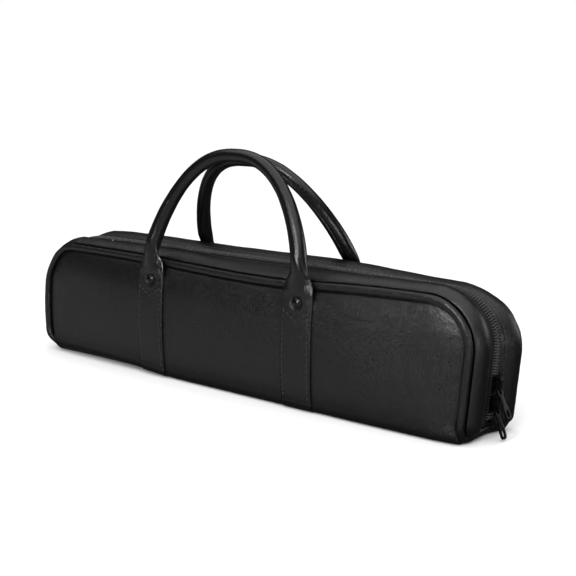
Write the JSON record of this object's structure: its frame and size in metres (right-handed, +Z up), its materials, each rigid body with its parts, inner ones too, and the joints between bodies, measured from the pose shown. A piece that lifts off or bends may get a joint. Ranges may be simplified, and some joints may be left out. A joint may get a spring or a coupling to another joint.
{
  "type": "flute case",
  "caption": "Soft padded flute case in black faux leather: round-cornered body, zip over the top and both ends, vertical straps and rolled arch handles; inside, an insert holds the flute.",
  "frame": {"origin": "centre of the flat bottom, on the surface the case stands on", "axes": "+X along the case towards the end where the sliders are parked, -Y towards the front panel that opens, +Z up"},
  "size_m": [0.444, 0.08, 0.1879],
  "materials": {
    "leather": "satin",
    "foam": "matte",
    "board": "matte",
    "plush": "matte",
    "insert_foam": "matte",
    "zip_tape": "matte",
    "zip_coil": "satin",
    "gunmetal": "gloss",
    "slider_metal": "satin",
    "cord_core": "matte"
  },
  "bodies": {
    "rear_half": {"back_board": "board", "back_cover": "leather", "back_foam": "foam", "bottom_board": "board", "bottom_cover": "leather", "end_welt_left": "leather", "end_welt_right": "leather", "insert_block": "insert_foam", "insert_face": "plush", "rear_coil": "zip_coil", "rear_gusset": "leather", "rear_piping": "leather", "rear_rivet_left": "gunmetal", "rear_rivet_right": "gunmetal", "rear_zip_tape": "zip_tape", "strap_left_rear": "leather", "strap_right_rear": "leather", "zip_stop_left": "gunmetal", "zip_stop_right": "gunmetal"},
    "front_half": {"front_cover": "leather", "front_foam": "foam", "front_board": "board", "front_lining": "plush", "front_gusset": "leather", "front_piping": "leather", "front_zip_tape": "zip_tape", "front_coil": "zip_coil", "strap_left_front": "leather", "strap_right_front": "leather", "front_rivet_left": "gunmetal", "front_rivet_right": "gunmetal"},
    "front_handle": {"front_handle": "leather", "front_handle_core": "cord_core"},
    "rear_handle": {"rear_handle": "leather", "rear_handle_core": "cord_core"},
    "lower_slider": {"lower_slider": "slider_metal"},
    "upper_slider": {"upper_slider": "slider_metal"},
    "upper_pull": {"upper_pull": "slider_metal"},
    "lower_pull": {"lower_pull": "slider_metal"}
  },
  "joints": [
    {"name": "front_half_fold", "type": "hinge", "parent": "rear_half", "child": "front_half", "pos_m": [0, -0.03, 0.005], "axis": [1, 0, 0], "range_deg": [0, 80]},
    {"name": "front_handle_fold", "type": "hinge", "parent": "front_half", "child": "front_handle", "pos_m": [0, -0.0374, 0.0925], "axis": [1, 0, 0], "range_deg": [0, 140]},
    {"name": "rear_handle_fold", "type": "hinge", "parent": "rear_half", "child": "rear_handle", "pos_m": [0, 0.0374, 0.0925], "axis": [-1, 0, 0], "range_deg": [0, 140]},
    {"name": "lower_slider_run", "type": "slide", "parent": "rear_half", "child": "lower_slider", "axis": [0.0732, 0, 0.9973], "range_m": [0, 0.007]},
    {"name": "upper_slider_run", "type": "slide", "parent": "lower_slider", "child": "upper_slider", "axis": [0.0732, 0, 0.9973], "range_m": [0, 0.008]},
    {"name": "upper_pull_swing", "type": "hinge", "parent": "upper_slider", "child": "upper_pull", "pos_m": [0.21663, 0, 0.0362], "axis": [0, -1, 0], "range_deg": [0, 110]},
    {"name": "lower_pull_swing", "type": "hinge", "parent": "lower_slider", "child": "lower_pull", "pos_m": [0.21564, 0, 0.0227], "axis": [0, -1, 0], "range_deg": [-20, 24]}
  ]
}
